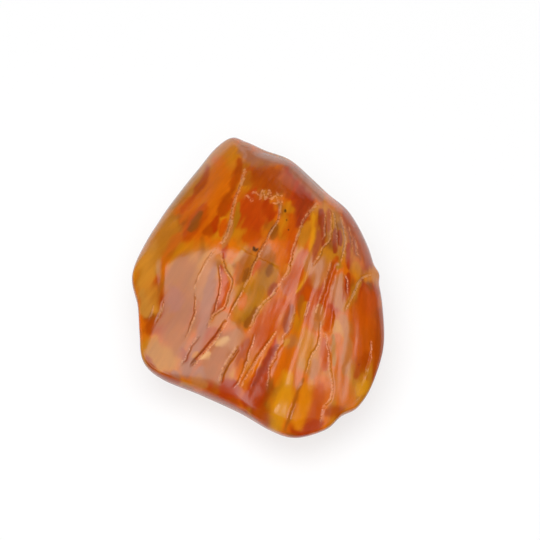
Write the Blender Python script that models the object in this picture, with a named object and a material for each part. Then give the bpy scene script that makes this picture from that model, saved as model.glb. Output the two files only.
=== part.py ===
"""Raw amber piece: one natural pebble of fossil resin, about 40 x 55 x 17 mm.

Metres, +Z up. The pebble lies on its flat underside, with the middle of its box at x = y = 0.
Its upper face is laid out as someone sees it who looks down on it from the front, VIEW_RISE
above the table: u runs to the right and v up that view, in millimetres from the middle of the
pebble's widest section. Paths are lists of a few points chosen by hand, and a smooth curve
runs through each.
"""
import math

import bmesh
import bpy
import numpy as np
from mathutils import Vector, noise

MM = 0.001
NAME = "amber_piece"

# The pebble's own form, millimetres.
VIEW_RISE = math.radians(60)
GIRDLE_HEIGHT = 9.4        # height of the widest section above the table
CROWN = 8.3                # the top, above the widest section
FRONT_FALL = 0.22          # how fast the crown thins towards the front, forward of FALL_START
FALL_START = 2.0
KEEL = 11.6                # the underside, below it, before the flat is worn on it
MEAN_RADIUS = 23.0
SQUARENESS = 1.05          # over 1, the rim is drawn out; under 1, it is blunt
GIRDLE_LEVEL = -0.3        # where the unit sphere meets the widest section
SOFT_WIDTH = 19.5          # the oval that the outline eases into towards the middle
SOFT_DEPTH = 25.0
RIM_WAVES = [(2, 0.6, 0.9), (3, 0.4, 4.2)]    # rises of the widest section: number, height, turn
UNDULATION = 0.45          # lumps of the worn skin
UNDULATION_SPAN = 13.0

# The widest section in plan, anticlockwise from the right, millimetres.
GIRDLE = [
    (20, -4), (19, 2), (17.6, 7.2), (14.8, 12.7), (11.4, 16), (8.8, 19), (5.2, 23), (1, 25.1),
    (-2, 26.8), (-4.5, 27.8), (-7.3, 25.7), (-10, 21.6), (-12.9, 16.9), (-15.8, 12.2),
    (-18.3, 7.2), (-20, 1), (-19, -4.5), (-18.6, -9.5), (-18, -13.8), (-15.2, -16.3),
    (-9.5, -18.5), (-3.6, -21.7), (2, -25.6), (6, -27), (10.6, -25.5), (13.1, -23),
    (15.7, -21.5), (18.2, -17.6), (20.1, -11.5),
]

# A knob on the right rim: middle in x, y and z, radius, height outwards.
KNOB = ((18.8, 1.4, 10.2), 1.2, 0.5)

# Swells and hollows of the crown: middle in u and v, reach across and along, height.
SWELLS = [
    ((-12, -2), 7, 9, 0.5),
    ((17, -7), 3.2, 9, 0.9),
    ((3.5, -20.5), 5, 4, 1.5),
    ((6, 3), 4, 7, -0.9),
    ((-0.5, -13), 2.4, 5, -0.6),
]

# Flats of the face, where runs broke away clean: middle in u and v and its height above the
# table, half width and length, turn of its length from v in degrees, rise to the right and back.
FLATS = [
    ((-9.8, -6.0), 12.9, 10.5, 14.5, -14, 0.15, 0.28),
    ((0.8, -7.5), 12.0, 5.6, 14.0, -18, -0.18, 0.36),
    ((5.4, -1.5), 14.9, 2.2, 6.5, -25, -0.05, 0.28),
    ((12.8, -3.0), 13.8, 2.4, 8.0, -8, 0.00, 0.24),
    ((8.4, -9.0), 12.5, 4.6, 9.0, -10, -0.10, 0.24),
    ((13.6, -9.0), 12.4, 2.6, 8.0, -3, -0.10, 0.22),
    ((10.0, -19.5), 10.5, 13.0, 7.5, -6, -0.24, 0.32),
    ((-14.0, 11.5), 12.2, 5.0, 14.0, -31, 0.51, -0.31),
    ((-17.8, -2.0), 11.8, 3.0, 9.0, 3, 0.60, 0.12),
]

# The edge where the crown turns down to its far right side.
SHOULDER = [(-1, 23), (-1, 20.8), (2, 19.5), (5, 18.7), (8.3, 15), (10.5, 13), (14.5, 10)]
SHOULDER_SLOPE = 0.22

# Cracks and ledges, walked down the view: path, drop of the low side (+ right, - left), how far
# that side dips, and the depth of the cleft itself.
CLEFT_HALF_WIDTH = 0.55
STEP_WIDTH = 1.1
CRACKS = [
    ([(-2, 19), (-3, 15.5), (-4, 12.5), (-5.5, 7), (-8, 4), (-10, 0), (-10, -4.5), (-12, -9)],
     0.50, 2.6, 0.40),
    ([(-5.8, 5.5), (-4, 0.5), (-5.5, -4), (-8.5, -7.5), (-12.5, -13)], -0.45, 2.0, 0.45),
    ([(3.7, 14), (3, 10), (1, 6.5), (-1.5, 1), (-3.5, -2.5), (-6.5, -7), (-11, -12.7)],
     0.50, 2.4, 0.55),
    ([(9.8, 13.3), (6.5, 8), (5.3, 4), (2.5, -1.5), (0, -4.2), (-2.8, -10), (-6, -16)],
     -0.75, 3.0, 0.45),
    ([(11.5, 12.3), (11.8, 9), (10.5, 6), (8.3, 2.5)], -0.50, 1.4, 0.40),
    ([(13, 11.5), (13.7, 8), (13.8, 5.5), (13, 3)], 0.35, 1.2, 0.35),
    ([(12.5, 4), (11.2, 0), (10.2, -3.5), (9.5, -7), (7.3, -14)], -0.35, 1.2, 0.60),
    ([(18, 1.5), (15.7, 0), (15, -5), (14.7, -10), (12.5, -14)], 0.40, 2.2, 0.30),
    ([(10.5, -7), (11.3, -12), (11.8, -16), (9.8, -22)], -0.30, 1.6, 0.40),
    ([(6, -3.5), (5.2, -7), (3.5, -10), (2, -13.5), (1.5, -17)], -0.35, 3.0, 0.35),
    ([(3, -7), (0.5, -10.5), (-3, -16.5)], 0.35, 1.4, 0.35),
]

# Pits of the underside and its edge, in plan: middle, radius, depth.
PITS = [
    ((7, 5), 2.6, 0.9), ((-6, -6.5), 3.2, 0.8), ((-3, 9), 1.9, 0.7), ((12.5, -9), 2.2, 1.0),
    ((-13.5, 4), 2.4, 1.1), ((3, -17.5), 2.6, 1.1), ((4, 17.5), 2.8, 1.0),
]

COARSE_SPHERE = 5          # subdivisions of the ball that the pebble is shaped from
FINE_ZONE = 1.6            # millimetres round a crack or the knob with four times the faces
AMBER = (0.50, 0.16, 0.015, 1.0)


def smooth_path(knots, closed=False, steps=12):
    """Points along a Catmull-Rom curve through the knots."""
    knots = np.array(knots, float)
    if closed:
        ring = np.vstack([knots[-1:], knots, knots[:2]])
    else:
        ring = np.vstack([2 * knots[:1] - knots[1:2], knots, 2 * knots[-1:] - knots[-2:-1]])
    share = np.linspace(0, 1, steps, endpoint=False)[:, None]
    parts = []
    for a, b, c, d in zip(ring[:-3], ring[1:-2], ring[2:-1], ring[3:]):
        bend = 2 * a - 5 * b + 4 * c - d
        twist = 3 * b - a - 3 * c + d
        parts.append(b + 0.5 * share * (c - a + share * (bend + share * twist)))
    parts.append(ring[-2:-1])
    return np.vstack(parts)


def girdle_radius(angle):
    """Distance from the middle to the widest section, at each plan angle."""
    outline = smooth_path(GIRDLE, closed=True, steps=60)
    turned = np.arctan2(outline[:, 1], outline[:, 0])
    order = np.argsort(turned)
    reach = np.hypot(outline[:, 0], outline[:, 1])
    return np.interp(angle, turned[order], reach[order], period=2 * math.pi)


def rim_curve(share, depth):
    """Radius and height shares at a share of the way from the pole to the widest section."""
    lean = np.linspace(0, math.pi / 2, 2001)
    out = np.sin(lean) ** SQUARENESS
    up = np.cos(lean) ** SQUARENESS
    steps = np.hypot(np.diff(out) * MEAN_RADIUS, np.diff(up) * depth)
    walked = np.append(0, np.cumsum(steps))
    walked /= walked[-1]
    return np.interp(share, walked, out), np.interp(share, walked, up)


def pebble(ball):
    """The worn pebble, before its cracks: points in millimetres for unit directions."""
    angle = np.arctan2(ball[:, 1], ball[:, 0])
    turn = np.arccos(np.clip(ball[:, 2], -1, 1))
    girdle_turn = math.acos(GIRDLE_LEVEL)
    upper = turn <= girdle_turn
    share = np.where(upper, turn / girdle_turn, (math.pi - turn) / (math.pi - girdle_turn))
    out, up = rim_curve(share, (CROWN + KEEL) / 2)
    soft = 1 / np.hypot(np.cos(angle) / SOFT_WIDTH, np.sin(angle) / SOFT_DEPTH)
    reach = out * (soft + (girdle_radius(angle) - soft) * out ** 2)
    forward = FALL_START - reach * np.sin(angle)
    crown = CROWN - FRONT_FALL * 2 * np.logaddexp(0, forward / 2)
    height = GIRDLE_HEIGHT + np.where(upper, crown * up, -KEEL * up)
    for number, rise, start in RIM_WAVES:
        height = height + rise * out ** 3 * np.sin(number * angle + start)
    points = np.column_stack([reach * np.cos(angle), reach * np.sin(angle), height])
    return points, np.where(upper, np.clip((1 - out) / 0.06, 0, 1), 0)


def face_place(points):
    """u and v of each point, in the view of the upper face."""
    up_view = points[:, 1] * math.sin(VIEW_RISE)
    up_view = up_view + (points[:, 2] - GIRDLE_HEIGHT) * math.cos(VIEW_RISE)
    return points[:, 0], up_view


def beside(path, u, v):
    """Signed distance to a path, + on its right, and the share of it that is walked."""
    line = smooth_path(path)
    nearest = np.full(len(u), 1e9)
    side = np.full(len(u), 1e9)
    walked = np.zeros(len(u))
    for index, (start, end) in enumerate(zip(line[:-1], line[1:])):
        run = end - start
        along = ((u - start[0]) * run[0] + (v - start[1]) * run[1]) / (run @ run)
        held = np.clip(along, 0, 1)
        off_u = u - start[0] - held * run[0]
        off_v = v - start[1] - held * run[1]
        apart = np.hypot(off_u, off_v)
        closer = apart < nearest
        nearest = np.where(closer, apart, nearest)
        right = run[0] * off_v - run[1] * off_u
        side = np.where(closer, np.where(right < 0, -apart, apart), side)
        walked = np.where(closer, (index + held) / (len(line) - 1), walked)
    return side, walked


def ease(x):
    """0 below 0, 1 above 1, smooth between."""
    x = np.clip(x, 0, 1)
    return x * x * (3 - 2 * x)


def knob_height(points):
    """How far the knob stands out, millimetres, and zero away from it."""
    middle, radius, height = KNOB
    apart = np.linalg.norm(points - np.array(middle), axis=1)
    return height * np.exp(-(apart / radius) ** 2)


def crack_relief(u, v):
    """How far the cracks and ledges sink the face, millimetres."""
    sunk = np.zeros(len(u))
    for path, drop, dip, depth in CRACKS:
        side, walked = beside(path, u, v)
        ends = ease(walked / 0.12) * ease((1 - walked) / 0.15)
        low_side = side * math.copysign(1, drop)
        step = abs(drop) * ease(low_side / STEP_WIDTH + 0.5)
        step *= np.exp(-np.maximum(low_side, 0) / dip)
        cleft = depth * np.exp(-(side / CLEFT_HALF_WIDTH) ** 2)
        sunk += ends * (step + cleft)
    return sunk


def crown_relief(u, v):
    """Swells, hollows and the far shoulder, millimetres up."""
    raised = np.zeros(len(u))
    for (mid_u, mid_v), across, along, height in SWELLS:
        raised += height * np.exp(-((u - mid_u) / across) ** 2 - ((v - mid_v) / along) ** 2)
    side, _ = beside(SHOULDER, u, v)
    beyond = np.where(np.abs(side) < 12, side, 0)
    return raised - SHOULDER_SLOPE * ease(beyond / 2.0) * np.maximum(beyond, 0)


def flatten(points, u, v, on_face):
    """Cuts the crown down to the flats of the face."""
    for (mid_u, mid_v), mid_z, across, along, turn, rise_right, rise_back in FLATS:
        mid_y = (mid_v - (mid_z - GIRDLE_HEIGHT) * math.cos(VIEW_RISE)) / math.sin(VIEW_RISE)
        lean = math.radians(turn)
        right = (u - mid_u) * math.cos(lean) + (v - mid_v) * math.sin(lean)
        up = (v - mid_v) * math.cos(lean) - (u - mid_u) * math.sin(lean)
        reach = (np.abs(right / across) ** 3 + np.abs(up / along) ** 3) ** (1 / 3)
        share = on_face * (1 - ease((reach - 0.6) / 0.55))
        flat = mid_z + rise_right * (points[:, 0] - mid_u) + rise_back * (points[:, 1] - mid_y)
        points[:, 2] -= share * np.logaddexp(0, 5 * (points[:, 2] - flat)) / 5


def lumps(points):
    """Soft unevenness of the worn skin, millimetres outwards."""
    span = UNDULATION_SPAN
    return UNDULATION * np.array([noise.noise(Vector(p) / span) for p in points])


def shape(ball):
    """Finished points in millimetres for unit directions."""
    points, on_face = pebble(ball)
    outward = points - np.array([0, 0, GIRDLE_HEIGHT])
    outward /= np.linalg.norm(outward, axis=1)[:, None]
    points = points + outward * (lumps(points) + knob_height(points))[:, None]
    u, v = face_place(points)
    points[:, 2] += on_face * crown_relief(u, v)
    flatten(points, u, v, on_face)
    under = np.where(ball[:, 2] < GIRDLE_LEVEL, 1, 0)
    for (x, y), radius, depth in PITS:
        apart = np.hypot(points[:, 0] - x, points[:, 1] - y)
        points[:, 2] += under * depth * np.exp(-(apart / radius) ** 2)
    u, v = face_place(points)
    sunk = on_face * crack_relief(u, v)
    points[:, 1] += sunk * math.cos(VIEW_RISE)
    points[:, 2] -= sunk * math.sin(VIEW_RISE)
    points[:, 2] = np.maximum(points[:, 2], 0)
    return points


def fine_faces(ball_mesh):
    """Faces of the ball that lie by a crack or on the knob."""
    middles = np.array([face.calc_center_median().normalized() for face in ball_mesh.faces])
    points, on_face = pebble(middles)
    u, v = face_place(points)
    by_crack = np.zeros(len(u), bool)
    for crack in CRACKS:
        side, _ = beside(crack[0], u, v)
        by_crack |= np.abs(side) < FINE_ZONE
    by_crack &= on_face > 0.2
    middle, radius, _ = KNOB
    on_knob = np.linalg.norm(points - np.array(middle), axis=1) < radius + FINE_ZONE
    return [face for face, near in zip(ball_mesh.faces, by_crack | on_knob) if near]


def build_pebble():
    """The pebble's mesh, on its flat underside and centred."""
    ball = bmesh.new()
    bmesh.ops.create_icosphere(ball, subdivisions=COARSE_SPHERE, radius=1)
    ball.faces.ensure_lookup_table()
    edges = {edge for face in fine_faces(ball) for edge in face.edges}
    bmesh.ops.subdivide_edges(ball, edges=list(edges), cuts=1, use_grid_fill=True)
    bmesh.ops.triangulate(ball, faces=ball.faces[:])
    points = shape(np.array([vertex.co.normalized() for vertex in ball.verts]))
    middle = (points.min(axis=0) + points.max(axis=0)) / 2
    points[:, :2] -= middle[:2]
    for vertex, point in zip(ball.verts, points):
        vertex.co = Vector(point * MM)
    bmesh.ops.recalc_face_normals(ball, faces=ball.faces[:])
    mesh = bpy.data.meshes.new(NAME)
    ball.to_mesh(mesh)
    ball.free()
    mesh.shade_smooth()
    return mesh


def amber_material():
    """Raw amber: a see-through golden brown resin with a soft polish."""
    material = bpy.data.materials.new("amber")
    material.use_nodes = True
    shader = material.node_tree.nodes["Principled BSDF"]
    shader.inputs["Base Color"].default_value = AMBER
    shader.inputs["Roughness"].default_value = 0.2
    shader.inputs["Metallic"].default_value = 0.0
    shader.inputs["IOR"].default_value = 1.54
    shader.inputs["Transmission Weight"].default_value = 0.4
    return material


for old in list(bpy.data.objects):
    bpy.data.objects.remove(old)

amber = bpy.data.objects.new(NAME, build_pebble())
amber.data.materials.append(amber_material())
bpy.context.scene.collection.objects.link(amber)
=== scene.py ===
"""A raw amber piece: one worn pebble of fossil resin, cracked and ledged on its upper face."""
import math

import bpy
import numpy as np
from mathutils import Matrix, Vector, noise


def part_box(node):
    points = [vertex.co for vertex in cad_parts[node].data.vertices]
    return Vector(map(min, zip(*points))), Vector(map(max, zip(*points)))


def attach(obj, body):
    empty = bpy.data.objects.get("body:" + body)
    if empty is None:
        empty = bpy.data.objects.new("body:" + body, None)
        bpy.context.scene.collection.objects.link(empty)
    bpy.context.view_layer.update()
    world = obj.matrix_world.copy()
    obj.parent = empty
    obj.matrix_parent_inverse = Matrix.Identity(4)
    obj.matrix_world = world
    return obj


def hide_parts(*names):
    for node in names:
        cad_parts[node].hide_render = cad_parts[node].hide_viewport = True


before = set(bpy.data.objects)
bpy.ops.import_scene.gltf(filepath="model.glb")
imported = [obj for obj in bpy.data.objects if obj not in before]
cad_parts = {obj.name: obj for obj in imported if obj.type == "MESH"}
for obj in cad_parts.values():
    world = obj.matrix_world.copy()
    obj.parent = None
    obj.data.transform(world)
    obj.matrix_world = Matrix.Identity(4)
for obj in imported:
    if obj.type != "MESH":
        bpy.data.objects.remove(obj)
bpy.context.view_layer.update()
bpy.ops.object.select_all(action="DESELECT")

# --- The pebble --------------------------------------------------------------------------------
# Raw Baltic amber, a fossil resin. It set in overlapping runs, cracked along them, and was then
# tumbled to a soft polish, so its face keeps the edges of the runs as ledges and open clefts.
MM = 0.001

# The face is laid out as seen from VIEW_RISE above the table: u to the right and v up, in
# millimetres from the middle of the widest section. Paths are a few listed points.
VIEW_RISE = math.radians(60)
GIRDLE_HEIGHT = 9.4        # height of the widest section above the table
CROWN = 8.3                # the top, above the widest section
FRONT_FALL = 0.22          # how fast the crown thins towards the front, forward of FALL_START
FALL_START = 2.0
FALL_ROUND = 2.0           # how gently that begins
KEEL = 11.6                # the underside, below it, before the flat is worn on it
MEAN_RADIUS = 23.0
SQUARENESS = 1.05          # over 1, the rim is drawn out; under 1, it is blunt
GIRDLE_LEVEL = -0.5        # where the unit ball meets the widest section
SOFT_WIDTH = 19.5          # the oval that the outline eases into towards the middle
SOFT_DEPTH = 25.0
FACE_EDGE = 0.06           # share of the way in from the rim over which the face begins
RIM_WAVES = [(2, 0.6, 0.9), (3, 0.4, 4.2)]    # rises of the widest section: number, height, turn
UNDULATION = 0.45          # lumps of the worn skin
UNDULATION_SPAN = 13.0

# The widest section in plan, anticlockwise from the right.
GIRDLE = [
    (20, -4), (19, 2), (17.6, 7.2), (14.8, 12.7), (11.4, 16), (8.8, 19), (5.2, 23), (1, 25.1),
    (-2, 26.8), (-4.5, 27.8), (-7.3, 25.7), (-10, 21.6), (-12.9, 16.9), (-15.8, 12.2),
    (-18.3, 7.2), (-20, 1), (-19, -4.5), (-18.6, -9.5), (-18, -13.8), (-15.2, -16.3),
    (-9.5, -18.5), (-3.6, -21.7), (2, -25.6), (6, -27), (10.6, -25.5), (13.1, -23),
    (15.7, -21.5), (18.2, -17.6), (20.1, -11.5),
]

# A knob on the right rim: middle in x, y and z, radius, height outwards.
KNOB = ((18.8, 1.4, 10.2), 1.2, 0.5)

# Swells and hollows of the crown: middle in u and v, reach across and along, height.
SWELLS = [
    ((-12, -2), 7, 9, 0.5),
    ((3.5, -20.5), 5, 4, 1.5),
    ((6, 3), 4, 7, -0.9),
    ((-0.5, -13), 2.4, 5, -0.3),
]

# Flats of the face, where runs broke away clean: middle in u and v and its height above the
# table, half width and length, turn of its length from v in degrees, rise to the right and back.
RIM_DEPTH = 0.3            # how far under the rim's own height a flat may cut
RIM_SOFTNESS = 1 / 3       # how gently a flat levels out there
CUT_SOFTNESS = 0.2         # how gently the crown turns into a flat
FLAT_CORE = 0.6            # the share of its half size that is cut in full
FLAT_FADE = 0.55           # and the share over which the cut fades out
FLATS = [
    ((-9.8, -6.0), 12.9, 10.0, 13.2, -14, 0.15, 0.28),
    ((-0.2, -7.5), 12.5, 6.6, 14.0, -18, -0.18, 0.26),
    ((5.4, -1.5), 14.9, 2.2, 6.5, -25, -0.05, 0.28),
    ((12.8, -3.0), 13.8, 2.4, 8.0, -8, 0.00, 0.24),
    ((8.4, -9.0), 12.5, 4.6, 9.0, -10, -0.10, 0.24),
    ((13.6, -9.0), 12.4, 2.6, 8.0, -3, -0.10, 0.22),
    ((10.0, -19.5), 10.5, 13.0, 7.5, -6, -0.24, 0.32),
    ((-14.0, 11.5), 12.2, 5.0, 14.0, -31, 0.51, -0.31),
    ((-17.8, -2.0), 11.8, 3.0, 9.0, 3, 0.60, 0.12),
]

# The edge where the crown turns down to its far right side.
SHOULDER = [(-1, 23), (-1, 20.8), (2, 19.5), (5, 18.7), (8.3, 15), (10.5, 13), (14.5, 10)]
SHOULDER_SLOPE = 0.22
SHOULDER_ROUND = 2.0
SHOULDER_REACH = 12.0      # how far past the edge it still falls

# Pits of the underside and its edge, in plan: middle, radius, depth.
PITS = [
    ((7, 5), 2.6, 0.9), ((-6, -6.5), 3.2, 0.8), ((-3, 9), 1.9, 0.7), ((12.5, -9), 2.2, 1.0),
    ((-13.5, 4), 2.4, 1.1), ((3, -17.5), 2.6, 1.1), ((4, 17.5), 2.8, 1.0),
]

# Kinds of crack: how far the low side dips, half width and depth of the cleft, then the pale
# broken lip (how far to the low side, half width, strength) and the painted shade of the cleft.
WANDER = 0.16              # how far a crack strays from its path, in bends of WANDER_SPAN
WANDER_SPAN = 0.9
GRIT_SPAN = 0.3            # the size of the lip's chips
LIP_RISE = 0.06            # how far a lip stands up
CLEFT_ENDS = (1.0, 1.5)    # how far a cleft takes to open at its start and close at its end
STEP_ENDS = (3.0, 3.5)     # and the same for the step of its low side
CRACK_KINDS = {
    "seam": (2.4, 0.20, 0.06, 0.08, 0.24, 0.80, 0.1),
    "crumbs": (0.6, 0.14, 0.06, 0.0, 0.17, 0.95, 0.0),
    "hairline": (1.2, 0.10, 0.08, 0.16, 0.13, 0.60, 0.35),
    "ledge": (2.0, 0.16, 0.06, 0.10, 0.16, 0.90, 0.1),
    "open": (1.6, 0.17, 0.24, 0.34, 0.20, 0.90, 0.4),
    "crest": (2.8, 0.18, 0.04, 0.08, 0.20, 0.95, 0.0),
    "fold": (1.1, 0.14, 0.09, 0.12, 0.14, 0.80, 0.2),
    "rag": (2.4, 0.18, 0.05, 0.12, 0.18, 0.65, 0.1),
    "groove": (1.2, 0.48, 0.34, 0.66, 0.14, 0.95, 0.0),
    "crease": (2.2, 0.50, 0.08, 0.0, 0.20, 0.10, 0.0),
    "flake": (1.2, 0.16, 0.06, 0.10, 0.16, 0.90, 0.1),
    "slip": (1.6, 0.30, 0.0, 0.0, 0.20, 0.0, 0.0),
}

# Cracks, walked down the view: kind, drop of the low side (+ right, - left), path.
CRACKS = [
    # the long seam from the shoulder, its two branches, and the chip between them
    ("seam", 0.50, [(-2, 19), (-2.5, 17), (-3, 15.5), (-4, 12.5), (-4.5, 9.5), (-5.5, 7),
                    (-6.5, 6)]),
    ("ledge", 0.15, [(-6.5, 6), (-8, 4), (-9, 2), (-10, 0), (-10.2, -1.5)]),
    ("hairline", 0.15, [(-10, -1), (-10, -4.5), (-10.5, -6), (-11, -7.5), (-12, -9)]),
    ("flake", -0.85, [(-5.8, 5.5), (-5.2, 3), (-4.5, 1.5), (-4, 0.5), (-4.5, -1.5), (-5.2, -3.5),
                      (-7, -5), (-8, -6.5)]),
    ("hairline", 0.25, [(-6.2, 3.5), (-6, 1), (-6, -1), (-6.5, -2.5), (-7, -4.5), (-8.5, -7.5)]),
    ("hairline", -0.15, [(-9, -7.8), (-10.5, -10), (-11.5, -12), (-12.5, -13)]),
    # the second crack, a pale crest above and an open cleft below
    ("ledge", 0.40, [(3.7, 14), (3.5, 12), (3, 10), (2, 8.5), (1, 6.5), (0, 4.5), (-1, 2.5),
                     (-1.5, 1), (-2.5, -1)]),
    ("hairline", 0.30, [(-2.3, -0.5), (-3.5, -2.7), (-4.5, -4.5), (-5, -5.7)]),
    ("open", 0.35, [(-4.8, -5.2), (-5.9, -6.9), (-6.8, -8.3), (-7.9, -9.6), (-9, -10.9),
                    (-9.9, -11.9), (-10.8, -13.2)]),
    # chips between the seam and the second crack
    ("crumbs", 0.06, [(-1.2, 14.2), (-0.6, 14.8), (0.2, 14.3), (0.9, 14.7), (1.5, 14.1)]),
    ("crumbs", 0.06, [(1.5, 14.2), (2.1, 13.8), (2.9, 14.2), (3.4, 13.7)]),
    ("crumbs", 0.06, [(2.8, 15.2), (3.2, 14.5), (3.8, 14.1), (3.4, 13.4)]),
    ("crumbs", 0.06, [(-2.4, 13.4), (-1.8, 14.2), (-1.1, 13.4), (-0.5, 14.1)]),
    ("crumbs", 0.06, [(0.2, 13.2), (0.8, 15.1), (1.3, 13.7), (1.8, 15), (2.2, 13.3)]),
    ("crumbs", 0.06, [(1.9, 13.2), (2.6, 12.9), (3.3, 13.2), (2.7, 14.6)]),
    # the third, a crest that drops to its left
    ("crest", -0.75, [(9.8, 13.3), (8.7, 12), (7.5, 10.5), (6.5, 8), (5.8, 6), (5.3, 4),
                      (4.8, 2), (3.5, 0.3)]),
    ("crest", -0.65, [(3.9, 0.8), (2.5, -1.5), (1.2, -2.7), (0, -4.2), (-1, -6.5), (-1.7, -8)]),
    ("open", -0.35, [(-2.8, -9.5), (-3.6, -11), (-4.8, -12.7), (-5.5, -14.5), (-6, -16)]),
    # folds that fan out from the right of the shoulder
    ("fold", -0.50, [(11.5, 12.3), (11.8, 11), (11.8, 9), (11.5, 7), (10.5, 6), (9.8, 4.5),
                     (8.3, 2.5)]),
    ("hairline", -0.10, [(10.9, 12), (10.8, 9.5), (10.7, 8), (10.2, 6.5)]),
    ("hairline", -0.15, [(12.2, 12), (12.5, 10), (12.7, 8), (12.7, 5.5)]),
    ("fold", 0.35, [(13, 11.5), (13.4, 10), (13.8, 8), (13.8, 6), (13.2, 4.5), (13, 3)]),
    ("hairline", 0.15, [(14.2, 9.5), (14.8, 7.5), (14.9, 5)]),
    ("fold", 0.25, [(15, 8), (15.6, 6.5), (15.7, 5), (16.5, 3.8)]),
    ("hairline", 0.15, [(13.6, 1.8), (14, 0.5), (14, -1), (14.3, -2)]),
    ("groove", -0.30, [(12.5, 4), (11.8, 2), (11.2, 0), (10.6, -2), (10, -4), (9.3, -6)]),
    ("ledge", 0.25, [(18.3, 1.8), (16.5, 1), (15.7, 0), (14.8, -2), (13.5, -4.3)]),
    ("crease", 0.08, [(15.7, 0), (15, -4), (15, -8), (14.7, -10.5), (14, -12.5), (12.5, -14)]),
    ("hairline", 0.05, [(17.7, -8.5), (17.8, -10), (17.5, -11), (18, -12.3)]),
    # broken ladders and ragged ledges of the lower right
    ("rag", -0.25, [(10.5, -7), (11, -9.5), (11.3, -12), (11.5, -14), (11.8, -16),
                    (11.4, -17.7), (10.3, -19.3), (10, -21), (9.6, -22.5)]),
    ("hairline", 0.15, [(9.8, -5.5), (9.6, -8), (9.3, -9.7), (8.3, -11), (7.6, -13),
                        (7.2, -14.5)]),
    ("rag", -0.35, [(6, -3.5), (5.7, -5), (5, -7.3), (4.2, -8.2), (3.9, -9.3), (3.1, -10.5),
                    (2.9, -11.5), (2, -13), (1.7, -15), (1.5, -17)]),
    ("fold", 0.30, [(3, -7), (2, -8.5), (0.5, -10.5), (-0.5, -12), (-2, -14.5), (-3, -16.5)]),
    ("hairline", 0.15, [(-0.5, -7.5), (-1.2, -10), (-2, -12.3), (-3, -15), (-4.3, -16.5)]),
    ("hairline", 0.15, [(8, -2), (7.7, -4), (7, -6)]),
    # smooth slips of the runs, with no lip
    ("slip", -0.45, [(11.9, -2.6), (11.9, -5), (11.5, -7.6), (11, -9)]),
    ("slip", -0.35, [(0.8, -10.5), (-0.2, -13), (-1.2, -15.5), (-2, -18)]),
    ("slip", -0.35, [(17.7, -8.5), (17.6, -11.5), (17, -14), (16, -16.5)]),
    ("slip", -0.50, [(7.1, -14.8), (5.6, -18.5), (4.4, -22), (3.8, -24.5)]),
    # short breaks of the left rim and the corner of the shoulder
    ("fold", 0.20, [(-14.9, -2.3), (-15.3, -4), (-16.3, -6.5)]),
    ("fold", 0.15, [(-16.5, -3), (-16.9, -4.5), (-17.5, -6)]),
    ("crease", 0.15, [(-4, 23.7), (-2.8, 22.3), (-1.9, 21), (-2.1, 20), (-1.3, 19.4)]),
]

# Colours of the resin, from clear honey to the skin between runs. The pink-brown clay colour also
# serves as painted reflection on the face.
PALETTE = {
    "honey": "#cf7e0c", "gold": "#c67c18", "butter": "#cf8c34", "yellow": "#e09410",
    "amberlit": "#de7400", "orange": "#d86a04", "fire": "#cc5200", "ember": "#c45000",
    "rust": "#b04800", "cherry": "#b03800", "red": "#be3c04", "wine": "#9a3410",
    "umber": "#92500e", "toffee": "#b06010", "olive": "#b27410", "plum": "#a64e2c",
    "tan": "#c07434", "clay_and_sheen": "#ac6a48", "cream": "#e2a860", "straw": "#d68c2a",
    "marigold": "#e08406", "sienna": "#a95a34", "soot": "#40260c",
}
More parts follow.
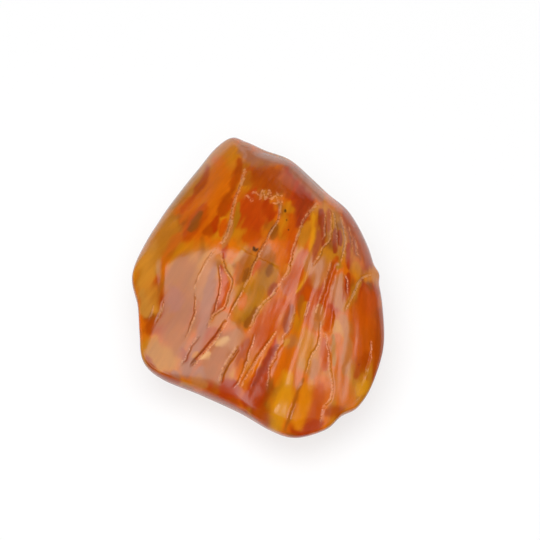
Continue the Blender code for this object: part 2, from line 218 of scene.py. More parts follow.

# Clouds of colour in the resin, broad ones first, with some strokes of painted shade and painted
# reflection among them: colour, half width, path in u and v.
CLOUD_STRENGTH = 0.9
CLOUD_TURN = 0.12          # a point that looks less up the view than this shows no cloud in full
CLOUD_CORE = 0.4           # the share of its half width that keeps its full strength
CLOUD_FADE = 1.1           # and the share over which it fades out
CLOUD_WAVES = [(2.4, 0.30, 0.40), (0.8, 0.12, 0.16)]    # its bends: span, how far in u and in v
ZONES = [
    # left facet, under the pointed end
    ("honey", 2.2, [(-5, 23), (-5.2, 20.5)]),
    ("orange", 2.6, [(-6, 19), (-6.3, 15), (-8, 12)]),
    ("gold", 2.4, [(-14.5, 10), (-16.5, 6), (-18, 2)]),
    ("olive", 0.9, [(-10, 18), (-12, 15.5), (-14, 12.5)]),
    ("rust", 0.7, [(-8.3, 19), (-9, 16.5), (-10.5, 14)]),
    ("ember", 0.9, [(-10.5, 14), (-12.3, 11.8)]),
    ("orange", 0.7, [(-7.5, 16), (-10, 13), (-12.5, 10)]),
    ("honey", 1.2, [(-13.2, 9.5), (-15.3, 6.5), (-16.2, 3)]),
    ("rust", 1.1, [(-4.8, 14.3), (-5.6, 11.5)]),
    ("rust", 0.7, [(-3.1, 20.2), (-3.3, 18), (-4.2, 15)]),
    ("rust", 0.8, [(-5.3, 13.2), (-6, 11)]),
    ("ember", 1.5, [(-8.8, 12), (-9.8, 9.8), (-11.2, 7.6)]),
    ("umber", 0.7, [(-9.3, 11.2), (-9.9, 9.8), (-10.7, 8.6)]),
    ("rust", 1.0, [(-8.3, 8.5), (-6.7, 8.7)]),
    ("cherry", 0.6, [(-6.6, 10.6), (-6.8, 8.5)]),
    ("fire", 0.5, [(-5.2, 10.3), (-5.9, 7.7)]),
    ("orange", 0.7, [(-12.5, 8), (-14.3, 5), (-15, 1)]),
    # left rim
    ("olive", 0.8, [(-18, 3.5), (-18.5, 0)]),
    ("straw", 1.5, [(-16.5, 6), (-17.6, 3), (-17.4, -1), (-16.5, -4)]),
    ("butter", 1.1, [(-18.3, -1.5), (-17.5, -4.8)]),
    ("rust", 1.1, [(-15.8, -5.3), (-17.2, -7.3)]),
    ("gold", 1.7, [(-17, -9.5), (-15.2, -12.5)]),
    # painted shade: rust that darkens the lower left rim
    ("rust", 0.9, [(-15.5, -14), (-12.5, -15.3)]),
    # clay here is partly resin colour and partly painted reflection of the soft box
    ("clay_and_sheen", 0.6, [(-13.3, -14), (-12.5, -14.7)]),
    # painted shade: rust strokes that darken the lower left rim
    ("rust", 0.7, [(-17.4, -11.5), (-15, -15), (-11, -16.8), (-6, -18.4), (-2, -20.2)]),
    ("rust", 0.8, [(-6, -17.5), (-3.5, -18.5)]),
    # left bay
    ("toffee", 3.4, [(-11.7, 3), (-12.3, -4), (-12.5, -9)]),
    ("sienna", 1.6, [(-13.3, -1), (-13, -3.5)]),
    # clay here is partly resin colour and partly painted reflection where the bay mirrors the soft
    # box
    ("clay_and_sheen", 1.4, [(-9.2, -8.5), (-10.4, -11), (-11.3, -14)]),
    ("gold", 1.0, [(-15.5, -10.5), (-13.8, -12)]),
    # the leaf between the branches of the seam, and the chip beside it
    # clay here is partly resin colour and partly painted reflection where the leaf mirrors the soft
    # box
    ("clay_and_sheen", 1.3, [(-7.3, 3), (-7.7, -1), (-8.3, -4.5), (-9, -7.5)]),
    ("tan", 0.7, [(-7.3, 4.7), (-8.6, 1.5), (-9.1, -2)]),
    ("ember", 0.9, [(-5.3, 1.2), (-5.3, -1), (-5.9, -3)]),
    ("cherry", 0.5, [(-5.8, 3), (-5.9, 1.5)]),
    ("rust", 0.5, [(-6.2, -3), (-6.7, -4.3)]),
    ("tan", 0.6, [(-4, -1), (-4.6, -3.3)]),
    ("tan", 1.0, [(-5, -4.7), (-7.2, -6.3)]),
    # the deep red hollow and what lies under it
    ("rust", 2.3, [(-1.3, 18), (1, 17), (3.3, 17.5)]),
    ("toffee", 0.7, [(-1.6, 17.8), (-2, 16)]),
    ("rust", 1.2, [(1.3, 15.8), (3.2, 15.2)]),
    ("red", 2.9, [(-1.4, 13.5), (-1.1, 11), (-0.8, 9)]),
    ("cherry", 0.9, [(1.5, 13), (2, 10.5)]),
    ("ember", 1.2, [(0.2, 7.5), (-2, 7.3)]),
    ("olive", 0.4, [(-3, 13), (-3.8, 9.5), (-4.5, 7.5)]),
    ("orange", 0.9, [(-3, 3), (-3.4, 0.5)]),
    ("cherry", 0.6, [(-5, 6.3), (-5.3, 4.3)]),
    ("tan", 0.5, [(-4.2, 9.5), (-4.8, 7.5), (-5.6, 5.8)]),
    ("amberlit", 0.9, [(-3.6, 6.3), (-4.3, 4)]),
    ("butter", 0.6, [(-4.6, 3), (-4.3, 1.7)]),
    ("toffee", 1.0, [(-1.2, 5), (-2, 3), (-2.9, 0.5)]),
    # painted shade: an umber stroke beside the second crack
    ("umber", 0.5, [(-1.6, 2.4), (-2.2, 0.5)]),
    # between the second crack and the crest
    ("rust", 1.0, [(4.8, 17), (4.8, 14.5)]),
    ("honey", 1.0, [(5, 13), (4.6, 10), (4, 7.5)]),
    ("ember", 1.1, [(5.1, 11), (5.5, 9), (4.7, 4)]),
    # painted shade: an umber stroke beside the second crack, on its low side
    ("umber", 0.8, [(3.1, 8.8), (2.3, 7.3)]),
    ("orange", 1.2, [(3.7, 6), (3.3, 3.5)]),
    ("toffee", 1.3, [(1.4, 5.3), (1, 2)]),
    ("fire", 0.4, [(0.2, 4), (-0.7, 1.7)]),
    ("olive", 1.5, [(2.2, 2.5), (0.7, -1), (-0.6, -3.3)]),
    ("umber", 0.6, [(2, 3), (1.8, 1.3)]),
    ("plum", 0.7, [(2.7, -0.3), (1.9, -1.7)]),
    ("orange", 0.7, [(-2.2, -1.5), (-2.7, -3.7)]),
    ("umber", 0.8, [(-0.4, -4), (-1.7, -6.3)]),
    ("olive", 0.5, [(-1.1, -3.7), (-2.3, -5.5)]),
    # partly resin colour and partly painted shade: wine on the side of the crest that tilts away
    # from the light
    ("wine", 1.4, [(7.4, 15.5), (7.4, 12.5), (6.7, 9.8)]),
    # right of the crest
    ("gold", 1.0, [(8.1, 9.5), (7.2, 7)]),
    ("honey", 0.7, [(9.5, 12.2), (8.8, 10)]),
    ("yellow", 0.45, [(9, 11), (8.8, 9.6), (8.4, 5.6), (7.3, 1.1), (6.3, -1)]),
    ("wine", 0.7, [(10, 11.5), (10.4, 9), (10.4, 6.5)]),
    ("plum", 0.6, [(9.6, 8.5), (9.3, 5.8), (8.5, 3.3)]),
    ("ember", 1.2, [(7.3, 5), (6, 1.5), (4.5, -1)]),
    ("tan", 0.5, [(8.2, 5), (7.5, 2.3)]),
    ("tan", 1.6, [(10, 3.5), (9.3, 0.5)]),
    ("ember", 1.2, [(8, -1), (7.5, -4)]),
    ("fire", 1.7, [(3.5, -3), (1.5, -6.3), (0.3, -9)]),
    ("plum", 0.6, [(5.3, -3.5), (4.3, -7.3)]),
    ("toffee", 0.6, [(7, -2), (6.5, -5)]),
    ("honey", 0.5, [(7.5, -3), (6.5, -6.3)]),
    ("ember", 0.7, [(12.4, 4), (11.3, 0.5), (10.6, -2.5), (9.5, -5)]),
    ("tan", 1.0, [(12.8, 1), (12.5, -2), (13.2, -3.7)]),
    ("cherry", 0.4, [(14.2, 1.5), (14, -1)]),
    # folds of the upper right
    ("rust", 1.9, [(14.5, 11), (16, 8), (17.2, 4.5)]),
    ("rust", 0.5, [(11.3, 12), (11.2, 8.5)]),
    ("wine", 0.5, [(12.4, 8.5), (12.2, 6.5), (12, 5)]),
    ("wine", 0.35, [(13, 8.5), (13.2, 6.5)]),
    ("gold", 0.4, [(13.7, 6.3), (13.6, 4.3)]),
    ("cherry", 0.5, [(14.5, 6.5), (14.4, 2.5)]),
    ("olive", 0.4, [(12.9, 3.3), (12.6, 2.3)]),
    ("honey", 0.9, [(15.8, 3.2), (15.7, 1)]),
    ("marigold", 1.2, [(19.8, 1.8), (17.2, 1)]),
    ("gold", 0.6, [(16, 0.3), (14.6, -2.7), (13.7, -4)]),
    # right lobe
    ("ember", 2.6, [(17.3, -1.8), (17.3, -7), (16.5, -12)]),
    ("rust", 0.9, [(19.4, -4), (19.2, -10), (18.3, -15)]),
    ("orange", 1.3, [(14, -15), (13, -18.5)]),
    ("rust", 1.2, [(17, -11), (15.8, -14)]),
    ("yellow", 0.7, [(16.9, -15.2), (16, -17.3)]),
    # lower right
    ("fire", 0.9, [(11, -4.5), (10.7, -7)]),
    ("tan", 1.2, [(13.5, -5.5), (13, -9)]),
    ("straw", 0.7, [(12.4, -6), (12.6, -9.5)]),
    ("tan", 0.9, [(9.6, -3.5), (9.2, -7)]),
    ("tan", 0.9, [(14.2, -9), (13.6, -13.5)]),
    ("orange", 0.9, [(12.5, -8), (12, -12)]),
    ("olive", 0.4, [(12, -8), (11.9, -12.5)]),
    ("ember", 0.9, [(10.6, -9), (10.4, -13)]),
    ("tan", 1.0, [(8.9, -12), (8.6, -14.3)]),
    ("honey", 0.4, [(8.8, -10.7), (7.8, -13)]),
    ("marigold", 1.4, [(8, -16), (7, -18.5), (6.3, -22)]),
    ("ember", 0.9, [(9.9, -15.7), (9.3, -19), (8.5, -21.5)]),
    ("cherry", 0.8, [(8.3, -22.3), (9.7, -21.3)]),
    ("rust", 0.8, [(11, -20), (13, -19.5)]),
    # lower middle
    ("tan", 1.0, [(5.3, -8), (5.3, -11)]),
    ("orange", 1.3, [(5.6, -10.5), (4, -12.7), (2.9, -15)]),
    ("rust", 1.1, [(0.3, -18.8), (1.0, -22.2)]),
    ("yellow", 1.5, [(4.8, -14.5), (3.7, -18.5), (2.9, -22)]),
    ("toffee", 0.35, [(7.1, -14.8), (5.6, -18.5), (4.3, -22.8)]),
    ("butter", 0.6, [(4.8, -8.7), (4.4, -9.4)]),
    ("cherry", 1.7, [(1, -13.5), (-0.5, -17), (-2, -18)]),
    ("red", 0.9, [(2.5, -9), (0.8, -12)]),
    ("wine", 0.5, [(3, -9.5), (1.2, -12.5), (-0.7, -15.7)]),
    ("rust", 1.2, [(-1.7, -9), (-3, -12.5)]),
    ("amberlit", 0.35, [(2.8, -7.6), (1, -10.5), (-0.3, -12.8), (-2.7, -16)]),
    ("cherry", 1.1, [(-3.8, -15.3), (-5.2, -17.3)]),
    ("orange", 0.5, [(-2.6, -12), (-3.5, -14.5)]),
    # the pale bank between the open cleft and the crest
    ("toffee", 2.9, [(-4.5, -8.5), (-6.3, -11), (-7.5, -13.5)]),
    ("tan", 1.1, [(-3.0, -7.2), (-3.8, -9.8)]),
    # clay here is partly resin colour and partly painted reflection where the bank mirrors the soft
    # box
    ("clay_and_sheen", 1.0, [(-9.0, -13.2), (-9.8, -15.0)]),
    ("cream", 0.75, [(-4.7, -8.4), (-6.4, -9.6)]),
    ("cream", 0.55, [(-7.7, -10.8), (-8.8, -11.5)]),
    ("tan", 0.9, [(-10.3, -14.7), (-8.3, -15.6)]),
    ("plum", 0.8, [(-11.6, -10.5), (-11.3, -12)]),
    ("ember", 0.35, [(-6.2, -7.4), (-6.8, -8.4), (-7.9, -9.6), (-9.7, -11.7)]),
    ("honey", 0.4, [(-9.6, -10.4), (-10.2, -11.5)]),
    # shoulder: the clay band is partly resin colour and partly painted reflection along the far edge
    ("clay_and_sheen", 1.2, [(-2.7, 22.5), (-1.3, 20.7), (1, 20.3), (4.3, 19.8)]),
    ("clay_and_sheen", 1.0, [(5.5, 18.7), (8.3, 16.5), (10, 14)]),
    # flecks of bark and soil
    ("soot", 0.30, [(-0.6, 6.0), (-0.3, 5.6), (0, 5.7)]),
    ("soot", 0.16, [(4.5, 12.2), (4.3, 11.6)]),
    ("soot", 0.13, [(4.5, 10.3), (4.5, 10.1)]),
    ("soot", 0.12, [(4.9, 8.9), (4.9, 8.7)]),
    ("wine", 0.24, [(15.9, -12.5), (15.9, -12.7)]),
]


def linear(hex_colour):
    """sRGB hex to linear RGB."""
    parts = [int(hex_colour[i:i + 2], 16) / 255 for i in (1, 3, 5)]
    return np.array([c / 12.92 if c <= 0.04045 else ((c + 0.055) / 1.055) ** 2.4 for c in parts])


def smooth_path(knots, closed=False, steps=12):
    """Points along a Catmull-Rom curve through the knots."""
    knots = np.array(knots, float)
    if closed:
        ring = np.vstack([knots[-1:], knots, knots[:2]])
    else:
        ring = np.vstack([2 * knots[:1] - knots[1:2], knots, 2 * knots[-1:] - knots[-2:-1]])
    share = np.linspace(0, 1, steps, endpoint=False)[:, None]
    parts = []
    for a, b, c, d in zip(ring[:-3], ring[1:-2], ring[2:-1], ring[3:]):
        bend = 2 * a - 5 * b + 4 * c - d
        twist = 3 * b - a - 3 * c + d
        parts.append(b + 0.5 * share * (c - a + share * (bend + share * twist)))
    parts.append(ring[-2:-1])
    return np.vstack(parts)


def girdle_radius(angle):
    """Distance from the middle to the widest section, at each plan angle."""
    outline = smooth_path(GIRDLE, closed=True, steps=60)
    turned = np.arctan2(outline[:, 1], outline[:, 0])
    order = np.argsort(turned)
    reach = np.hypot(outline[:, 0], outline[:, 1])
    return np.interp(angle, turned[order], reach[order], period=2 * math.pi)


def rim_curve(share, depth):
    """Radius and height shares at a share of the way from the pole to the widest section."""
    lean = np.linspace(0, math.pi / 2, 4001)
    out = np.sin(lean) ** SQUARENESS
    up = np.cos(lean) ** SQUARENESS
    steps = np.hypot(np.diff(out) * MEAN_RADIUS, np.diff(up) * depth)
    walked = np.append(0, np.cumsum(steps))
    walked /= walked[-1]
    return np.interp(share, walked, out), np.interp(share, walked, up)


def softly_over(value, floor, softness):
    """The value, held above a floor, with a rounded turn where they meet."""
    return floor + softness * np.logaddexp(0, (value - floor) / softness)


def pebble(ball):
    """The worn pebble, before its face is cut: for unit directions, its points in millimetres,
    how much each belongs to the upper face, and the height of the rim at its foot."""
    angle = np.arctan2(ball[:, 1], ball[:, 0])
    turn = np.arccos(np.clip(ball[:, 2], -1, 1))
    girdle_turn = math.acos(GIRDLE_LEVEL)
    upper = turn <= girdle_turn
    share = np.where(upper, turn / girdle_turn, (math.pi - turn) / (math.pi - girdle_turn))
    out, up = rim_curve(share, (CROWN + KEEL) / 2)
    soft = 1 / np.hypot(np.cos(angle) / SOFT_WIDTH, np.sin(angle) / SOFT_DEPTH)
    reach = out * (soft + (girdle_radius(angle) - soft) * out ** 2)
    forward = FALL_START - reach * np.sin(angle)
    crown = CROWN - FRONT_FALL * softly_over(forward, 0, FALL_ROUND)
    rim = np.full(len(ball), GIRDLE_HEIGHT)
    for number, rise, start in RIM_WAVES:
        rim += rise * out ** 3 * np.sin(number * angle + start)
    height = rim + np.where(upper, crown * up, -KEEL * up)
    points = np.column_stack([reach * np.cos(angle), reach * np.sin(angle), height])
    on_face = np.where(upper, np.clip((1 - out) / FACE_EDGE, 0, 1), 0)
    return points, on_face, rim


def face_place(points):
    """u and v of each point, in the view of the upper face."""
    up_view = points[:, 1] * math.sin(VIEW_RISE)
    up_view = up_view + (points[:, 2] - GIRDLE_HEIGHT) * math.cos(VIEW_RISE)
    return points[:, 0], up_view


def ease(x):
    """0 below 0, 1 above 1, smooth between."""
    x = np.clip(x, 0, 1)
    return x * x * (3 - 2 * x)


def near_path(path, reach, u, v):
    """Which points lie within reach of a path's box."""
    low = np.min(path, axis=0) - reach
    high = np.max(path, axis=0) + reach
    return np.flatnonzero((u > low[0]) & (u < high[0]) & (v > low[1]) & (v < high[1]))


def beside(path, u, v):
    """Signed distance to a path, + on its right, and how much of it lies behind and ahead."""
    line = smooth_path(path)
    lengths = np.hypot(*np.diff(line, axis=0).T)
    nearest = np.full(len(u), 1e9)
    side = np.full(len(u), 1e9)
    walked = np.zeros(len(u))
    for index, (start, end) in enumerate(zip(line[:-1], line[1:])):
        run = end - start
        along = ((u - start[0]) * run[0] + (v - start[1]) * run[1]) / (run @ run)
        held = np.clip(along, 0, 1)
        off_u = u - start[0] - held * run[0]
        off_v = v - start[1] - held * run[1]
        apart = np.hypot(off_u, off_v)
        closer = apart < nearest
        nearest = np.where(closer, apart, nearest)
        right = run[0] * off_v - run[1] * off_u
        side = np.where(closer, np.where(right < 0, -apart, apart), side)
        walked = np.where(closer, lengths[:index].sum() + held * lengths[index], walked)
    return side, walked, lengths.sum() - walked


def worn(points, span, octaves=1):
    """Soft random values, about -1 to 1, over points in millimetres."""
    if octaves == 1:
        return np.array([noise.noise(Vector(p) / span) for p in points])
    return np.array([noise.fractal(Vector(p) / span, 1.0, 2.0, octaves) for p in points])


def knob_height(points):
    """How far the knob stands out, millimetres, and zero away from it."""
    middle, radius, height = KNOB
    apart = np.linalg.norm(points - np.array(middle), axis=1)
    return height * np.exp(-(apart / radius) ** 2)


def crown_relief(u, v):
    """Swells, hollows and the far shoulder, millimetres up."""
    raised = np.zeros(len(u))
    for (mid_u, mid_v), across, along, height in SWELLS:
        raised += height * np.exp(-((u - mid_u) / across) ** 2 - ((v - mid_v) / along) ** 2)
    side, _, _ = beside(SHOULDER, u, v)
    beyond = np.where(side < SHOULDER_REACH, np.maximum(side, 0), 0)
    return raised - SHOULDER_SLOPE * ease(beyond / SHOULDER_ROUND) * beyond


def flatten(points, u, v, on_face, rim):
    """Cuts the crown down to the flats of the face, but nowhere far below its rim."""
    inside = np.minimum(3 * on_face, 1)     # a cut fades in three times as fast as the face
    for (mid_u, mid_v), mid_z, across, along, turn, rise_right, rise_back in FLATS:
        mid_y = (mid_v - (mid_z - GIRDLE_HEIGHT) * math.cos(VIEW_RISE)) / math.sin(VIEW_RISE)
        lean = math.radians(turn)
        right = (u - mid_u) * math.cos(lean) + (v - mid_v) * math.sin(lean)
        up = (v - mid_v) * math.cos(lean) - (u - mid_u) * math.sin(lean)
        reach = (np.abs(right / across) ** 3 + np.abs(up / along) ** 3) ** (1 / 3)
        share = inside * (1 - ease((reach - FLAT_CORE) / FLAT_FADE))
        flat = mid_z + rise_right * (points[:, 0] - mid_u) + rise_back * (points[:, 1] - mid_y)
        flat = softly_over(flat, rim - RIM_DEPTH, RIM_SOFTNESS)
        points[:, 2] -= share * softly_over(points[:, 2] - flat, 0, CUT_SOFTNESS)


def crack_marks(points, u, v):
    """How far the cracks sink the face, how pale their lips are, and the painted shade of their
    clefts.
    """
    sunk = np.zeros(len(u))
    pale = np.zeros(len(u))
    cleft_shade = np.zeros(len(u))
    wander_u = u + WANDER * worn(points, WANDER_SPAN)
    wander_v = v + WANDER * worn(points + 50, WANDER_SPAN)
    grit = worn(points, GRIT_SPAN)
    for kind, drop, path in CRACKS:
        dip, half_width, depth, lip_at, lip_width, lip, shade = CRACK_KINDS[kind]
        near = near_path(path, 4 * dip, u, v)
        side, behind, ahead = beside(path, wander_u[near], wander_v[near])
        low_side = side * math.copysign(1, drop)
        ends = ease(behind / CLEFT_ENDS[0]) * ease(ahead / CLEFT_ENDS[1])
        spread = ease(behind / STEP_ENDS[0]) * ease(ahead / STEP_ENDS[1])
        step = abs(drop) * spread * ease(low_side / half_width / 2 + 0.5)
        step *= np.exp(-np.maximum(low_side, 0) / dip)
        in_cleft = np.exp(-(side / half_width) ** 2)
        on_lip = np.exp(-((low_side - lip_at) / lip_width) ** 2) * (0.7 + 0.9 * grit[near])
        sunk[near] += step + ends * (depth * in_cleft - LIP_RISE * lip * on_lip)
        pale[near] = np.maximum(pale[near], ends * lip * on_lip)
        # painted shade laid into the cleft
        cleft_shade[near] = np.maximum(cleft_shade[near], ends * shade * in_cleft)
    return sunk, np.clip(pale, 0, 1), np.clip(cleft_shade, 0, 1)


def tints(points, grain, u, v, facing):
    """The colour at each point: drifting clouds of the resin all over, then the face's own zones,
    some of which are painted shade and painted reflection.
    """
    drift = worn(points * [1.0, 0.6, 1.0], 7.0, 3)
    flow = worn(points * [1.0, 0.5, 1.2] + 30, 4.0, 3)
    tint = np.tile(linear(PALETTE["orange"]), (len(u), 1))
    for name, amount in (("gold", drift * 2.0), ("honey", flow * 2.5 - 0.3),
                         ("cherry", -drift * 2.2 - 0.2), ("umber", -flow * 2.0 - 0.5)):
        tint += ease(amount)[:, None] * (linear(PALETTE[name]) - tint)
    shown = ease(facing / CLOUD_TURN)
    wave_u, wave_v = u.copy(), v.copy()
    for span, in_u, in_v in CLOUD_WAVES:
        wave_u += in_u * worn(points, span)
        wave_v += in_v * worn(points + 20, span)
    torn = 0.5 * worn(grain * [1.0, 0.12, 0.3], 0.9, 3)     # edges drawn out along the flow
    for name, half_width, path in ZONES:
        near = near_path(path, 3 * half_width + 1, u, v)
        side, behind, ahead = beside(path, wave_u[near], wave_v[near])
        share = np.clip(behind / (behind + ahead), 0, 1)
        taper = 0.6 + 0.5 * np.sin(math.pi * share) ** 0.7
        fill = np.abs(side) / (half_width * taper) - CLOUD_CORE + torn[near]
        weight = CLOUD_STRENGTH * shown[near] * (1 - ease(fill / CLOUD_FADE))
        tint[near] += weight[:, None] * (linear(PALETTE[name]) - tint[near])
    return tint


def give(mesh, name, kind, values):
    """Stores values on the mesh's points under a name that the material reads."""
    layer = mesh.attributes.new(name, kind, "POINT")
    key = {"FLOAT_COLOR": "color", "FLOAT_VECTOR": "vector"}.get(kind, "value")
    layer.data.foreach_set(key, np.ascontiguousarray(values, np.float32).ravel())


bpy.ops.mesh.primitive_ico_sphere_add(subdivisions=7, radius=1)
amber = bpy.context.object
amber.name = "raw_amber"
mesh = amber.data

# Where the face has four times the faces: within FINE_ZONE of a crack, over the knob, and at
# clouds of colour with a half width under FLECK.
FINE_ZONE = 1.4
FLECK = 0.31
middles = np.empty(len(mesh.polygons) * 3)
mesh.polygons.foreach_get("center", middles)
middles = middles.reshape(-1, 3)
middles /= np.linalg.norm(middles, axis=1)[:, None]
points, on_face, _ = pebble(middles)
u, v = face_place(points)
fine = np.zeros(len(u), bool)
for _, _, path in CRACKS:
    near = near_path(path, FINE_ZONE, u, v)
    side, _, _ = beside(path, u[near], v[near])
    fine[near] |= np.abs(side) < FINE_ZONE
for _, half_width, path in ZONES:
    if half_width < FLECK:
        fine[near_path(path, FLECK, u, v)] = True
fine &= on_face > 0.2
fine |= knob_height(points) > 0.1 * KNOB[2]
bpy.context.tool_settings.mesh_select_mode = (False, False, True)
mesh.vertices.foreach_set("select", np.zeros(len(mesh.vertices), bool))
mesh.edges.foreach_set("select", np.zeros(len(mesh.edges), bool))
mesh.polygons.foreach_set("select", fine)
bpy.ops.object.mode_set(mode="EDIT")
bpy.ops.mesh.subdivide(number_cuts=1)
bpy.ops.mesh.select_all(action="SELECT")
bpy.ops.mesh.quads_convert_to_tris()
bpy.ops.object.mode_set(mode="OBJECT")

ball = np.empty(len(mesh.vertices) * 3)
mesh.vertices.foreach_get("co", ball)
ball = ball.reshape(-1, 3)
ball /= np.linalg.norm(ball, axis=1)[:, None]
points, on_face, rim = pebble(ball)
outward = points - np.array([0, 0, GIRDLE_HEIGHT])
outward /= np.linalg.norm(outward, axis=1)[:, None]
lumps = UNDULATION * worn(points, UNDULATION_SPAN)
points += outward * (lumps + knob_height(points))[:, None]
u, v = face_place(points)
points[:, 2] += on_face * crown_relief(u, v)
flatten(points, u, v, on_face, rim)
under = np.where(ball[:, 2] < GIRDLE_LEVEL, 1, 0)
for (x, y), radius, depth in PITS:
    apart = np.hypot(points[:, 0] - x, points[:, 1] - y)
    points[:, 2] += under * depth * np.exp(-(apart / radius) ** 2)

# How squarely each point looks up the view, and its place in the grain: across the flow, along
# it and up the view. The runs fanned out from FLOW_START, in u and v.
FLOW_START = (22, 50)
mesh.vertices.foreach_set("co", points.ravel())
mesh.update()
normals = np.empty(len(mesh.vertices) * 3, np.float32)
mesh.vertex_normals.foreach_get("vector", normals)
view_axis = np.array([0, -math.cos(VIEW_RISE), math.sin(VIEW_RISE)])
facing = normals.reshape(-1, 3) @ view_axis
u, v = face_place(points)
across = np.arctan2(FLOW_START[0] - u, FLOW_START[1] - v) * FLOW_START[1]
along = np.hypot(FLOW_START[0] - u, FLOW_START[1] - v)
grain = np.column_stack([across, along, points @ view_axis])

# The cracks and the colours, and flow ripples: all over the face, 0.9 mm wide and 6 mm long, and
# stronger ones, 1.6 mm wide and 11 mm long, in the folds right of the crest.
RIPPLE = 0.03
FOLDED_RIPPLE = 0.16
sunk, pale, cleft_shade = crack_marks(points, u, v)
tint = tints(points, grain, u, v, facing)
right_of_crest = ease((u - 2.5 - 0.35 * v) / 3.0)
left_of_lobe = ease((15.5 - u) / 2.0)
folded = right_of_crest * left_of_lobe
ripple = RIPPLE * worn(grain * [1.0, 0.16, 0.3], 0.9, 2)
ripple += FOLDED_RIPPLE * folded * worn(grain * [1.0, 0.14, 0.3] + 9, 1.6, 2)
ripple *= ease((facing - 0.3) / 0.4)
sunk = on_face * (sunk + ripple)
points[:, 1] += sunk * math.cos(VIEW_RISE)
points[:, 2] -= sunk * math.sin(VIEW_RISE)
points[:, 2] = np.maximum(points[:, 2], 0)

# On its box in the frame, in metres.
low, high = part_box("amber_piece")
middle = (points.min(axis=0) + points.max(axis=0)) / 2
points[:, 0] += (low.x + high.x) / 2 / MM - middle[0]
points[:, 1] += (low.y + high.y) / 2 / MM - middle[1]
mesh.vertices.foreach_set("co", (points * MM).ravel())
give(mesh, "tint_with_painted_light", "FLOAT_COLOR", np.column_stack([tint, np.ones(len(tint))]))
give(mesh, "crack_lip", "FLOAT", pale * on_face)
give(mesh, "cleft_painted_shade", "FLOAT", cleft_shade * on_face)
give(mesh, "grain", "FLOAT_VECTOR", grain)
mesh.update()
mesh.shade_smooth()

# Amber: a clear to cloudy resin, tumbled to a soft polish. Light goes in, loses its blue and
# green, and comes back golden. The broken lips of its cracks are frosted and pale.
# Its colour also carries painted shade in the clefts, and zones of painted shade and painted
# reflection.
amber_finish = bpy.data.materials.new("raw_baltic_amber")
amber_finish.use_nodes = True
nodes = amber_finish.node_tree.nodes
links = amber_finish.node_tree.links
nodes.clear()


def node(kind, inputs, **settings):
    """Adds a node, makes its settings, and gives its inputs values or other nodes' outputs."""
    made = nodes.new(kind)
    for name, value in settings.items():
        setattr(made, name, value)
    for key, value in inputs.items():
        if isinstance(value, bpy.types.NodeSocket):
            links.new(value, made.inputs[key])
        else:
            made.inputs[key].default_value = value
    return made


tint_read = node("ShaderNodeAttribute", {}, attribute_name="tint_with_painted_light")
lip_read = node("ShaderNodeAttribute", {}, attribute_name="crack_lip")
cleft_shade_read = node("ShaderNodeAttribute", {}, attribute_name="cleft_painted_shade")
grain_read = node("ShaderNodeAttribute", {}, attribute_name="grain")
place = node("ShaderNodeTexCoord", {})

# streaks about 1.1 mm wide and 8.5 mm long, drawn out the way the resin ran; the grain is stored
# in millimetres
streak_place = node("ShaderNodeMapping", {"Vector": grain_read.outputs["Vector"],
                                          "Scale": (1.0, 0.13, 0.3)})
streaks = node("ShaderNodeTexNoise", {"Vector": streak_place.outputs["Vector"], "Scale": 0.9,
                                      "Detail": 4.0, "Roughness": 0.6})
streak_light = node("ShaderNodeMapRange", {"Value": streaks.outputs["Fac"], "From Min": 0.3,
                                           "From Max": 0.7, "To Min": 0.86, "To Max": 1.10})
streaked = node("ShaderNodeVectorMath", {0: tint_read.outputs["Color"],
                                         1: streak_light.outputs["Result"]},
                operation="MULTIPLY")
# painted shade: the clefts are mixed toward deep brown by their painted shade
shaded = node("ShaderNodeMixRGB", {"Fac": cleft_shade_read.outputs["Fac"],
                                   "Color1": streaked.outputs["Vector"],
                                   "Color2": (*linear("#5c1c04"), 1)})
# the lips are crumbled in grains of 0.26 mm, and come and go about every 1.3 mm
CRUMBS_TO_A_MM = 3.8
BREAKS_TO_A_MM = 0.75
crumbs = node("ShaderNodeTexNoise", {"Vector": place.outputs["Object"], "Scale": CRUMBS_TO_A_MM / MM,
                                     "Detail": 1.0})
crumbled = node("ShaderNodeMapRange", {"Value": crumbs.outputs["Fac"], "From Min": 0.38,
                                       "From Max": 0.56, "To Min": 0.6, "To Max": 1.05})
breaks = node("ShaderNodeTexNoise", {"Vector": place.outputs["Object"],
                                     "Scale": BREAKS_TO_A_MM / MM})
broken = node("ShaderNodeMapRange", {"Value": breaks.outputs["Fac"], "From Min": 0.38,
                                     "From Max": 0.6, "To Min": 0.4, "To Max": 1.05})
crumb_lip = node("ShaderNodeMath", {0: lip_read.outputs["Fac"], 1: crumbled.outputs["Result"]},
                 operation="MULTIPLY")
lip = node("ShaderNodeMath", {0: crumb_lip.outputs["Value"], 1: broken.outputs["Result"]},
           operation="MULTIPLY")
lipped = node("ShaderNodeMixRGB", {"Fac": lip.outputs["Value"],
                                   "Color1": shaded.outputs["Color"],
                                   "Color2": (*linear("#e6a874"), 1)})

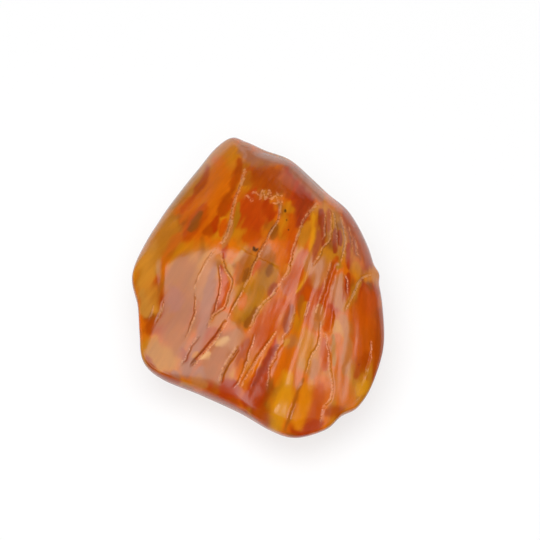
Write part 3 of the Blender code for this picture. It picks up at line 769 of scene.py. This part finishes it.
# the worn skin: a soft grain of 0.56 mm over the ripples of the runs
GRAINS_TO_A_MM = 1.8
skin = node("ShaderNodeTexNoise", {"Vector": place.outputs["Object"],
                                   "Scale": GRAINS_TO_A_MM / MM,
                                   "Detail": 3.0})
skin_bump = node("ShaderNodeBump", {"Strength": 0.35, "Distance": 0.04 * MM,
                                    "Height": skin.outputs["Fac"]})
flow_bump = node("ShaderNodeBump", {"Strength": 0.3, "Distance": 0.12 * MM,
                                    "Height": streaks.outputs["Fac"],
                                    "Normal": skin_bump.outputs["Normal"]})
polish = node("ShaderNodeMapRange", {"Value": skin.outputs["Fac"], "To Min": 0.14,
                                     "To Max": 0.28})
roughness = node("ShaderNodeMath", {0: lip.outputs["Value"], 1: 0.4,
                                    2: polish.outputs["Result"]}, operation="MULTIPLY_ADD")
shader = node("ShaderNodeBsdfPrincipled", {
    "Base Color": lipped.outputs["Color"],
    "Roughness": roughness.outputs["Value"],
    "IOR": 1.54,
    "Transmission Weight": 0.3,
    "Normal": flow_bump.outputs["Normal"],
})
absorb = node("ShaderNodeVolumeAbsorption", {"Color": (*linear("#f9c45f"), 1),
                                             "Density": 90.0})
node("ShaderNodeOutputMaterial", {"Surface": shader.outputs["BSDF"],
                                  "Volume": absorb.outputs["Volume"]})
mesh.materials.append(amber_finish)

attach(amber, "root")
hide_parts("amber_piece")

# --- The table ---------------------------------------------------------------------------------
# A sheet of white acrylic that glows from under, as a light table does, so that only the pebble's
# own faint shadow shows on it.
TABLE_SIZE = 8.0           # metres, so that its edge is never in the picture
TABLE_GAP = 0.02 * MM      # a hair under the pebble
bpy.ops.mesh.primitive_plane_add(size=TABLE_SIZE, location=(0, 0, -TABLE_GAP))
table = bpy.context.object
table.name = "white_table"
table_finish = bpy.data.materials.new("white_acrylic")
table_finish.use_nodes = True
sheet = table_finish.node_tree.nodes["Principled BSDF"]
sheet.inputs["Base Color"].default_value = (*linear("#7f7f7f"), 1)
sheet.inputs["Roughness"].default_value = 0.8
sheet.inputs["Specular IOR Level"].default_value = 0.1
sheet.inputs["Emission Color"].default_value = (*linear("#ffffff"), 1)
sheet.inputs["Emission Strength"].default_value = 0.725
table.data.materials.append(table_finish)

# --- Light -------------------------------------------------------------------------------------
# A soft box overhead and a little to the left, mirrored in the flats of the face, a strip low
# behind for the far edge, a broad fill that only warms the resin, and a dim room.


def soft_box(name, side, rise, distance, width, depth, radiance):
    """A rectangle of light that faces the pebble from a side (0 in front, 90 right) and a rise,
    both in degrees, at a distance in metres, with its own radiance whatever its size."""
    turn, lift = math.radians(side), math.radians(rise)
    towards = Vector((math.sin(turn) * math.cos(lift), -math.cos(turn) * math.cos(lift),
                      math.sin(lift)))
    bpy.ops.object.light_add(type="AREA", location=towards * distance)
    lamp = bpy.context.object
    lamp.name = name
    lamp.rotation_euler = towards.to_track_quat("Z", "Y").to_euler()
    lamp.data.shape = "RECTANGLE"
    lamp.data.size = width
    lamp.data.size_y = depth
    lamp.data.energy = radiance * math.pi * width * depth
    return lamp


soft_box("soft_box", side=-72, rise=82.7, distance=0.7, width=0.36, depth=0.56, radiance=2.0)
soft_box("back_strip", side=145, rise=20, distance=0.9, width=0.8, depth=0.40, radiance=0.8)
fill = soft_box("overhead_fill", side=-15, rise=74, distance=0.9, width=1.0, depth=1.0,
                radiance=3.9)
fill.visible_glossy = False

# the room's walls are dim, and a little lighter low down
room = bpy.data.worlds.new("pale_room")
room.use_nodes = True
nodes = room.node_tree.nodes
links = room.node_tree.links
nodes.clear()
sky_place = node("ShaderNodeTexCoord", {})
rise = node("ShaderNodeSeparateXYZ", {"Vector": sky_place.outputs["Generated"]})
glow = node("ShaderNodeMapRange", {"Value": rise.outputs["Z"], "From Min": 0.15,
                                   "From Max": 0.5, "To Min": 0.06, "To Max": 0.02})
back = node("ShaderNodeBackground", {"Color": glow.outputs["Result"]})
node("ShaderNodeOutputWorld", {"Surface": back.outputs["Background"]})
bpy.context.scene.world = room
bpy.context.scene.view_settings.view_transform = "Standard"

# --- Camera ------------------------------------------------------------------------------------
# A long lens that looks down on the face at VIEW_RISE, from far enough off to keep the outline
# nearly as flat as it is laid out.
LENS = 200.0
SENSOR = 36.0
PICTURE_WIDTH = 86.4       # millimetres of the face across the picture
AIM = (1.99, 1.88)         # the picture's middle, in u and v
distance = PICTURE_WIDTH * LENS / SENSOR
aim = Vector((AIM[0], AIM[1] * math.sin(VIEW_RISE),
              GIRDLE_HEIGHT + AIM[1] * math.cos(VIEW_RISE)))
bpy.ops.object.camera_add(location=(aim + Vector(view_axis) * distance) * MM,
                          rotation=(math.pi / 2 - VIEW_RISE, 0, 0))
camera = bpy.context.object
camera.data.lens = LENS
camera.data.sensor_width = SENSOR
camera.data.clip_start = 0.01
bpy.context.scene.camera = camera
